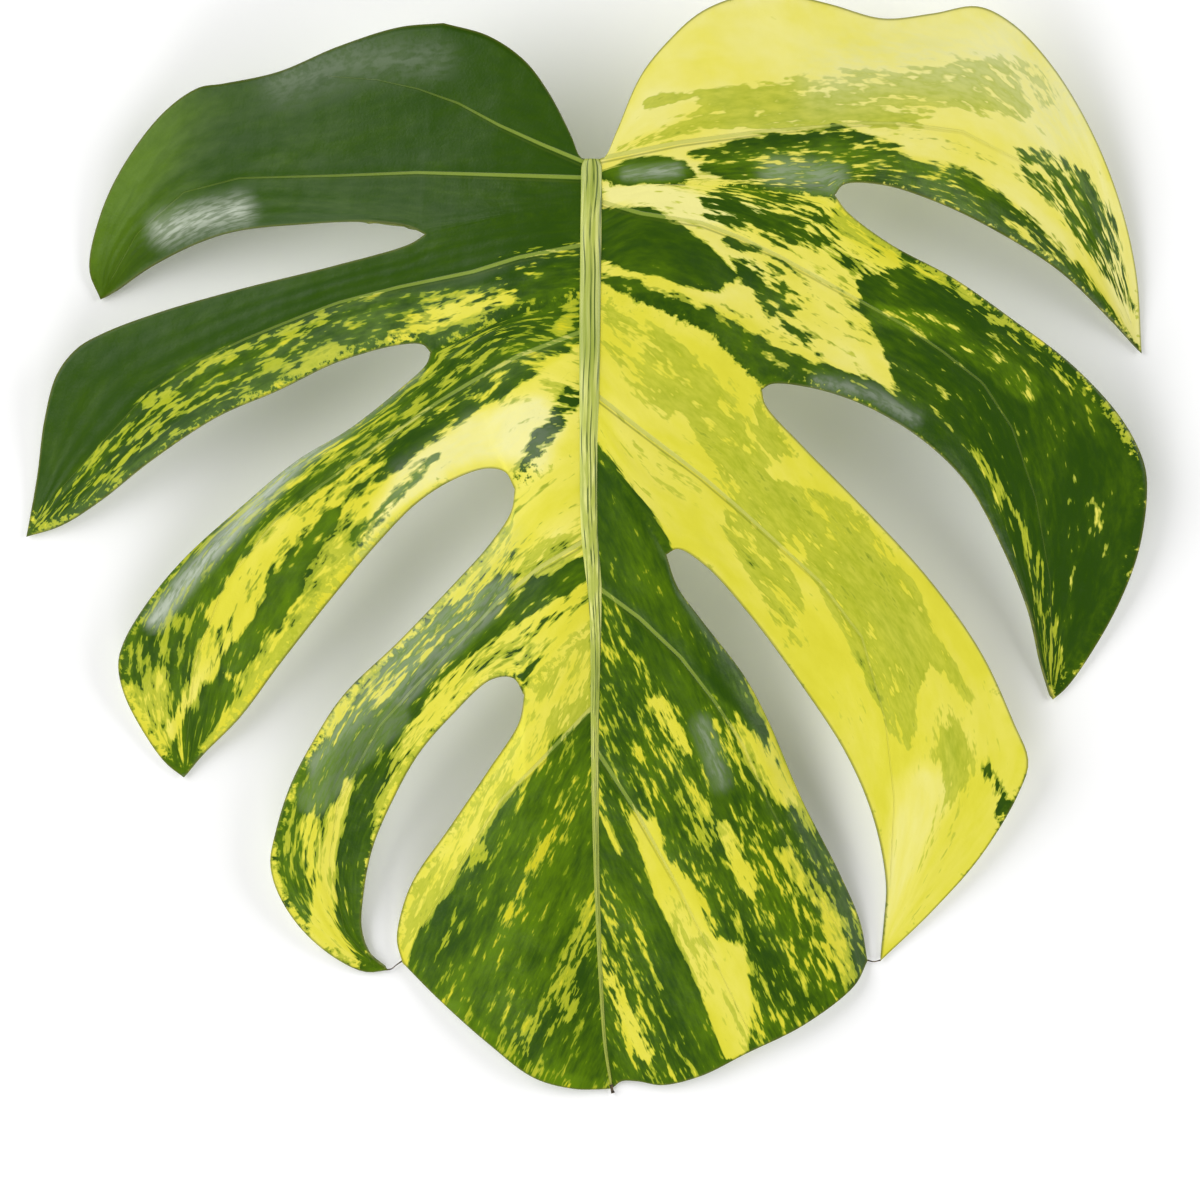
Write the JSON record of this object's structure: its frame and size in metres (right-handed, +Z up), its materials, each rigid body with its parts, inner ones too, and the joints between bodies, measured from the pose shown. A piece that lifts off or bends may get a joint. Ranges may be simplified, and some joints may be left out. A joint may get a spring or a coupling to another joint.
{
  "type": "monstera leaf",
  "caption": "Variegated monstera leaf lying upper side up: broad heart-shaped blade with deep slots between arching lobes, pale midrib and a cut leaf stalk folded under it",
  "frame": {"origin": "middle of the leaf's outline on the surface it lies on", "axes": "+Z up with the leaf's upper side up, +X across the blade, +Y towards the notch at the stalk, -Y towards the apex"},
  "size_m": [0.302, 0.2942, 0.0402],
  "materials": {
    "leaf_blade": "glossy living leaf, dark green with yellow, cream and lime variegation, paler and duller underneath",
    "petiole": "smooth green leaf stalk with fine lengthwise ridges, wrinkled at the knee and pale at the cut"
  },
  "bodies": {
    "root": {"leaf_blade": "leaf_blade", "petiole": "petiole"}
  },
  "joints": []
}
